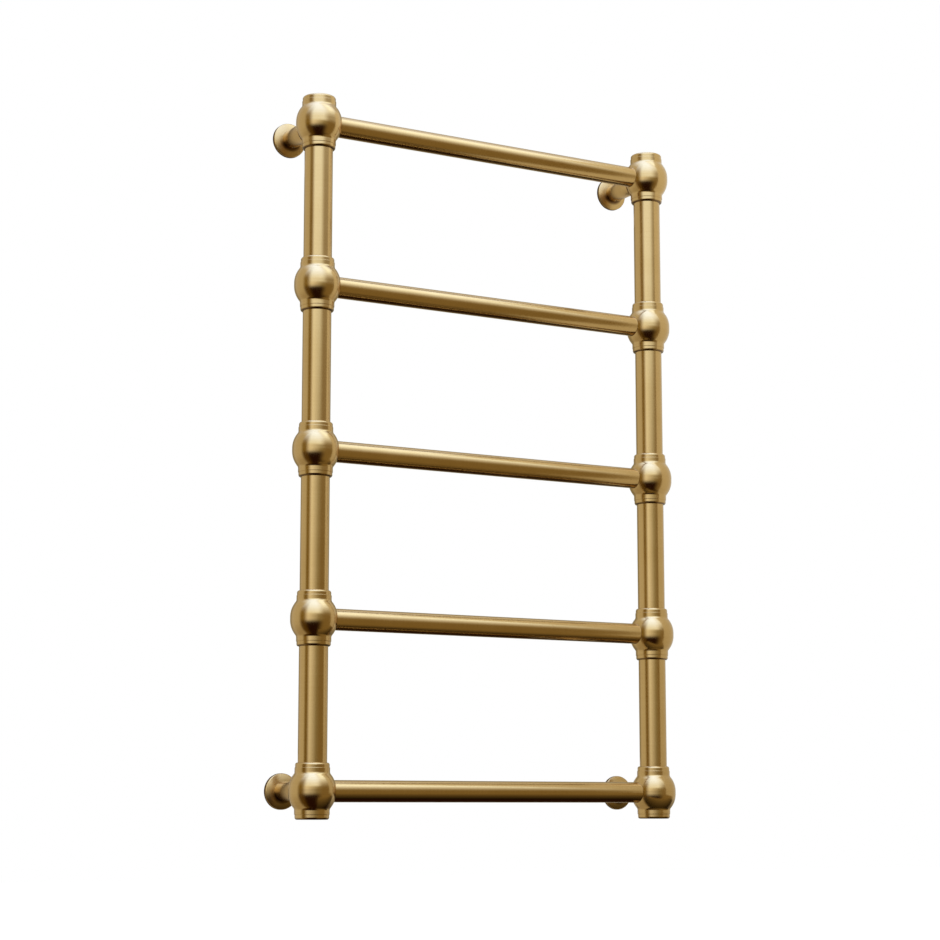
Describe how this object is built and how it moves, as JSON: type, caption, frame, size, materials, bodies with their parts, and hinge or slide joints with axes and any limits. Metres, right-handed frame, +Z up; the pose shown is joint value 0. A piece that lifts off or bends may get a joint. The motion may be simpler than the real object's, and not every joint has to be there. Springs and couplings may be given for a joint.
{
  "type": "heated towel rail",
  "caption": "Wall-hung, water-heated towel rail: satin brass ladder of round rungs between two uprights, with ball joints, wall stays, sliding roses and an air vent.",
  "frame": {"origin": "on the wall plane, at the middle of the four wall fixings", "axes": "+X to the right seen from the room, +Y into the wall, +Z up along the uprights"},
  "size_m": [0.6, 0.125, 0.965],
  "materials": {
    "satin_brass_tube": "brushed along the tube, lacquered",
    "satin_brass_fitting": "turned and satin brushed, lacquered",
    "satin_brass_stay": "satin brushed, lacquered",
    "bright_brass": "plain turned",
    "zinc_plated_steel": "zinc plated",
    "black_rubber": "moulded"
  },
  "bodies": {
    "rail_frame": {"left_upright_1": "satin_brass_tube", "left_upright_2": "satin_brass_tube", "left_upright_3": "satin_brass_tube", "left_upright_4": "satin_brass_tube", "right_upright_1": "satin_brass_tube", "right_upright_2": "satin_brass_tube", "right_upright_3": "satin_brass_tube", "right_upright_4": "satin_brass_tube", "left_ball_1": "satin_brass_fitting", "left_ball_2": "satin_brass_fitting", "left_ball_3": "satin_brass_fitting", "left_ball_4": "satin_brass_fitting", "left_ball_5": "satin_brass_fitting", "right_ball_1": "satin_brass_fitting", "right_ball_2": "satin_brass_fitting", "right_ball_3": "satin_brass_fitting", "right_ball_4": "satin_brass_fitting", "right_ball_5": "satin_brass_fitting", "rung_1": "satin_brass_tube", "rung_2": "satin_brass_tube", "rung_3": "satin_brass_tube", "rung_4": "satin_brass_tube", "rung_5": "satin_brass_tube", "bottom_left_stay": "satin_brass_stay", "bottom_right_stay": "satin_brass_stay", "top_left_stay": "satin_brass_stay", "top_right_stay": "satin_brass_stay", "bottom_left_wall_plate": "zinc_plated_steel", "bottom_right_wall_plate": "zinc_plated_steel", "top_left_wall_plate": "zinc_plated_steel", "top_right_wall_plate": "zinc_plated_steel", "stay_studs": "zinc_plated_steel", "stay_grub_screws": "zinc_plated_steel", "vent_plug": "satin_brass_fitting", "blank_plug": "satin_brass_fitting", "plug_washers": "black_rubber"},
    "bottom_left_cover": {"bottom_left_rose": "satin_brass_stay", "bottom_left_grip_ring": "black_rubber"},
    "bottom_right_cover": {"bottom_right_rose": "satin_brass_stay", "bottom_right_grip_ring": "black_rubber"},
    "top_left_cover": {"top_left_rose": "satin_brass_stay", "top_left_grip_ring": "black_rubber"},
    "top_right_cover": {"top_right_rose": "satin_brass_stay", "top_right_grip_ring": "black_rubber"},
    "vent": {"vent_screw": "bright_brass"}
  },
  "joints": [
    {"name": "bottom_left_rose_slide", "type": "slide", "parent": "rail_frame", "child": "bottom_left_cover", "axis": [0, -1, 0], "range_m": [0, 0.045]},
    {"name": "bottom_right_rose_slide", "type": "slide", "parent": "rail_frame", "child": "bottom_right_cover", "axis": [0, -1, 0], "range_m": [0, 0.045]},
    {"name": "top_left_rose_slide", "type": "slide", "parent": "rail_frame", "child": "top_left_cover", "axis": [0, -1, 0], "range_m": [0, 0.045]},
    {"name": "top_right_rose_slide", "type": "slide", "parent": "rail_frame", "child": "top_right_cover", "axis": [0, -1, 0], "range_m": [0, 0.045]},
    {"name": "vent_screw_turn", "type": "hinge", "parent": "rail_frame", "child": "vent", "pos_m": [-0.269, -0.094, 0.446], "axis": [0, 0, 1], "range_deg": [0, 180]}
  ]
}
